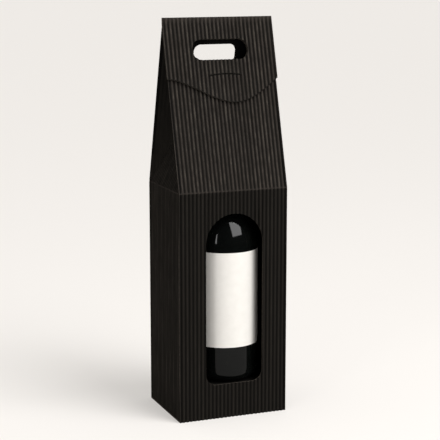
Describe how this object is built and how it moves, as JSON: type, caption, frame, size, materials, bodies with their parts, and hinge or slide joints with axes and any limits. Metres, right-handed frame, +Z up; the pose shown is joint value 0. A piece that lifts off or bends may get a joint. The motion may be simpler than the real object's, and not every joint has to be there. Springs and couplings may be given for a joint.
{
  "type": "bottle shipping box",
  "caption": "Tall gable-top corrugated card carton holding a small wine bottle, with an arched window, a closing flap and hand holes to carry it by.",
  "frame": {"origin": "centre of the base, on the surface it stands on", "axes": "+Z up, -Y towards the window, +X to the right as seen from the window side"},
  "size_m": [0.1016, 0.078, 0.348],
  "materials": {
    "carton": "matte black single-face corrugated card",
    "closing_flap": "matte black single-face corrugated card",
    "base_riser": "matte black card",
    "bottle": "glossy dark glass, full bottle",
    "capsule": "satin black shrink capsule",
    "label": "matte cream paper"
  },
  "bodies": {
    "carton": {"carton": "carton", "base_riser": "base_riser", "bottle": "bottle", "capsule": "capsule", "label": "label"},
    "closing_flap": {"closing_flap": "closing_flap"}
  },
  "joints": [
    {"name": "closing_flap_hinge", "type": "hinge", "parent": "carton", "child": "closing_flap", "pos_m": [0, 0, 0.348], "axis": [-1, 0, 0], "range_deg": [0, 180]}
  ]
}
